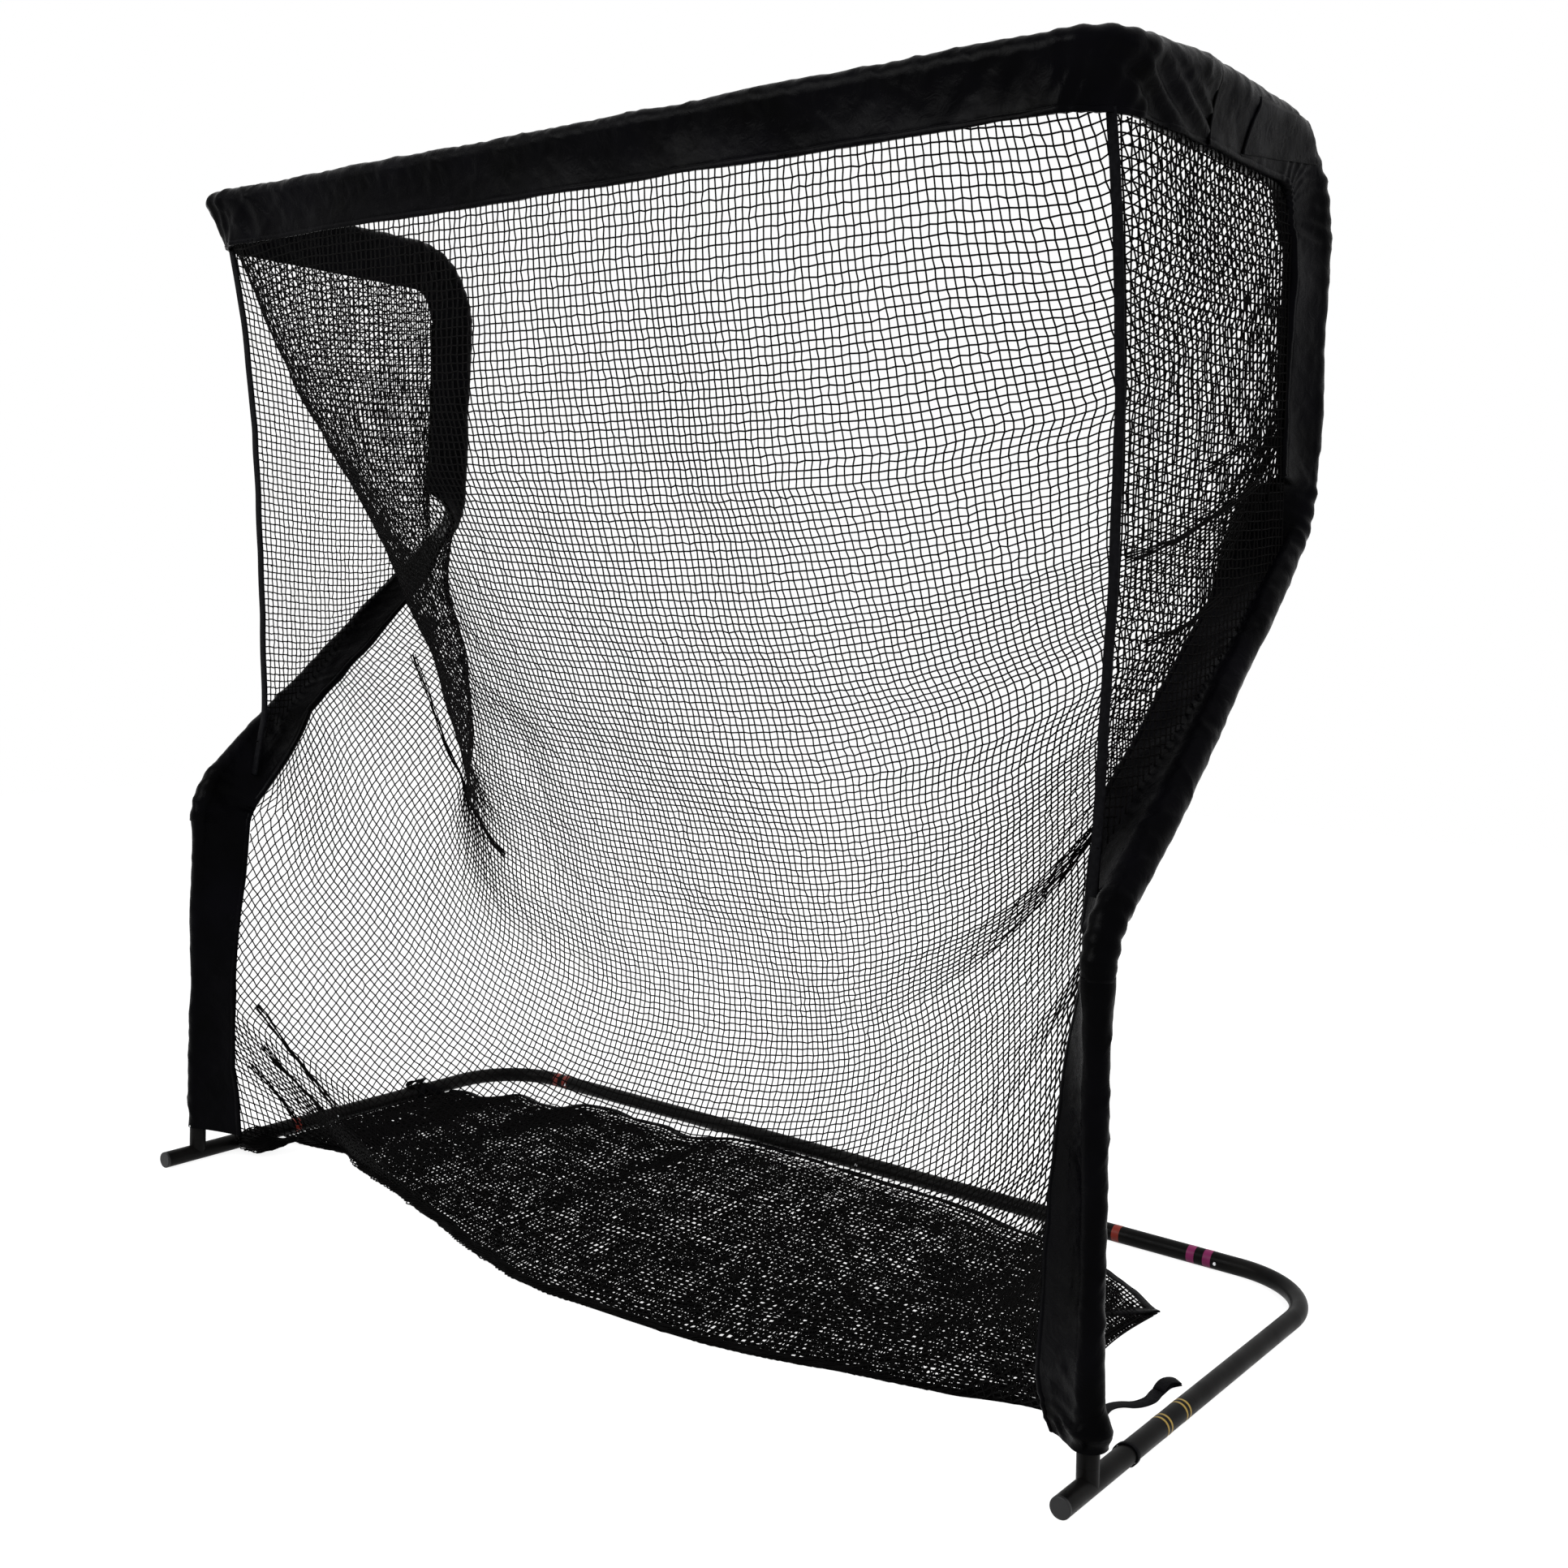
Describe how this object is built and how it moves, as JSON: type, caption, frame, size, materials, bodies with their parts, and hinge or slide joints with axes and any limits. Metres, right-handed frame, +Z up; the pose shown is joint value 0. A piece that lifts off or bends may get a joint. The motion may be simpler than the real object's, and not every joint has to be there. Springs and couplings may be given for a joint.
{
  "type": "golf practice net",
  "caption": "Free-standing tube frame with a leaning front opening, fabric sleeves and hung netting that bellies back and runs out along the floor.",
  "frame": {"origin": "centre of the footprint, on the floor", "axes": "+X to the right of a player in front of the net, +Y from the front opening to the back, +Z up"},
  "size_m": [2.4902, 1.1552, 2.2903],
  "materials": {
    "tube_paint": "satin black powder coat",
    "cap_plastic": "moulded dark grey",
    "spring_steel": "bright zinc plate",
    "sleeve_cloth": "black woven nylon with a soft sheen",
    "netting": "black knotted twine",
    "webbing": "black woven webbing",
    "gold_tape": "gold tape",
    "pink_tape": "magenta tape",
    "red_tape": "orange-red tape"
  },
  "bodies": {
    "frame": {"left_foot": "tube_paint", "right_foot": "tube_paint", "left_foot_cap": "cap_plastic", "right_foot_cap": "cap_plastic", "left_base_corner": "tube_paint", "right_base_corner": "tube_paint", "cross_left_bar": "tube_paint", "cross_right_bar": "tube_paint", "left_post": "tube_paint", "right_post": "tube_paint", "left_slant_tube": "tube_paint", "right_slant_tube": "tube_paint", "left_crown_tube": "tube_paint", "right_crown_tube": "tube_paint", "left_elbow": "tube_paint", "right_elbow": "tube_paint", "top_left_bar": "tube_paint", "top_right_bar": "tube_paint", "button_springs": "spring_steel", "gold_marks": "gold_tape", "pink_marks": "pink_tape", "red_marks": "red_tape", "top_sleeve": "sleeve_cloth", "left_side_sleeve": "sleeve_cloth", "right_side_sleeve": "sleeve_cloth", "left_post_sleeve": "sleeve_cloth", "right_post_sleeve": "sleeve_cloth", "left_front_band": "webbing", "right_front_band": "webbing", "main_net": "netting", "left_side_net": "netting", "right_side_net": "netting", "ground_net": "netting", "ground_hem": "sleeve_cloth", "tie_strap": "webbing", "base_tie": "webbing"},
    "left_foot_button": {"left_foot_button": "spring_steel"},
    "right_foot_button": {"right_foot_button": "spring_steel"},
    "left_knee_button": {"left_knee_button": "spring_steel"},
    "right_knee_button": {"right_knee_button": "spring_steel"},
    "left_shoulder_button": {"left_shoulder_button": "spring_steel"},
    "right_shoulder_button": {"right_shoulder_button": "spring_steel"},
    "left_crown_button": {"left_crown_button": "spring_steel"},
    "right_crown_button": {"right_crown_button": "spring_steel"},
    "left_elbow_button": {"left_elbow_button": "spring_steel"},
    "right_elbow_button": {"right_elbow_button": "spring_steel"},
    "left_base_button": {"left_base_button": "spring_steel"},
    "right_base_button": {"right_base_button": "spring_steel"},
    "left_cross_button": {"left_cross_button": "spring_steel"},
    "right_cross_button": {"right_cross_button": "spring_steel"},
    "top_centre_button": {"top_centre_button": "spring_steel"},
    "cross_centre_button": {"cross_centre_button": "spring_steel"}
  },
  "joints": [
    {"name": "left_foot_press", "type": "slide", "parent": "frame", "child": "left_foot_button", "axis": [0, 1, 0], "range_m": [0, 0.006], "stiffness_N_per_m": 1500, "springref_m": -0.002},
    {"name": "right_foot_press", "type": "slide", "parent": "frame", "child": "right_foot_button", "axis": [0, 1, 0], "range_m": [0, 0.006], "stiffness_N_per_m": 1500, "springref_m": -0.002},
    {"name": "left_knee_press", "type": "slide", "parent": "frame", "child": "left_knee_button", "axis": [-0.8187, -0.5736, 0.0272], "range_m": [0, 0.006], "stiffness_N_per_m": 1500, "springref_m": -0.002},
    {"name": "right_knee_press", "type": "slide", "parent": "frame", "child": "right_knee_button", "axis": [0.8187, -0.5736, 0.0272], "range_m": [0, 0.006], "stiffness_N_per_m": 1500, "springref_m": -0.002},
    {"name": "left_shoulder_press", "type": "slide", "parent": "frame", "child": "left_shoulder_button", "axis": [0, 1, 0], "range_m": [0, 0.006], "stiffness_N_per_m": 1500, "springref_m": -0.002},
    {"name": "right_shoulder_press", "type": "slide", "parent": "frame", "child": "right_shoulder_button", "axis": [0, 1, 0], "range_m": [0, 0.006], "stiffness_N_per_m": 1500, "springref_m": -0.002},
    {"name": "left_crown_press", "type": "slide", "parent": "frame", "child": "left_crown_button", "axis": [0, 0, 1], "range_m": [0, 0.006], "stiffness_N_per_m": 1500, "springref_m": -0.002},
    {"name": "right_crown_press", "type": "slide", "parent": "frame", "child": "right_crown_button", "axis": [0, 0, 1], "range_m": [0, 0.006], "stiffness_N_per_m": 1500, "springref_m": -0.002},
    {"name": "left_elbow_press", "type": "slide", "parent": "frame", "child": "left_elbow_button", "axis": [0, 0, 1], "range_m": [0, 0.006], "stiffness_N_per_m": 1500, "springref_m": -0.002},
    {"name": "right_elbow_press", "type": "slide", "parent": "frame", "child": "right_elbow_button", "axis": [0, 0, 1], "range_m": [0, 0.006], "stiffness_N_per_m": 1500, "springref_m": -0.002},
    {"name": "left_base_press", "type": "slide", "parent": "frame", "child": "left_base_button", "axis": [-1, 0, 0], "range_m": [0, 0.006], "stiffness_N_per_m": 1500, "springref_m": -0.002},
    {"name": "right_base_press", "type": "slide", "parent": "frame", "child": "right_base_button", "axis": [1, 0, 0], "range_m": [0, 0.006], "stiffness_N_per_m": 1500, "springref_m": -0.002},
    {"name": "left_cross_press", "type": "slide", "parent": "frame", "child": "left_cross_button", "axis": [0, 1, 0], "range_m": [0, 0.006], "stiffness_N_per_m": 1500, "springref_m": -0.002},
    {"name": "right_cross_press", "type": "slide", "parent": "frame", "child": "right_cross_button", "axis": [0, 1, 0], "range_m": [0, 0.006], "stiffness_N_per_m": 1500, "springref_m": -0.002},
    {"name": "top_centre_press", "type": "slide", "parent": "frame", "child": "top_centre_button", "axis": [0, 0, 1], "range_m": [0, 0.006], "stiffness_N_per_m": 1500, "springref_m": -0.002},
    {"name": "cross_centre_press", "type": "slide", "parent": "frame", "child": "cross_centre_button", "axis": [0, 1, 0], "range_m": [0, 0.006], "stiffness_N_per_m": 1500, "springref_m": -0.002}
  ]
}
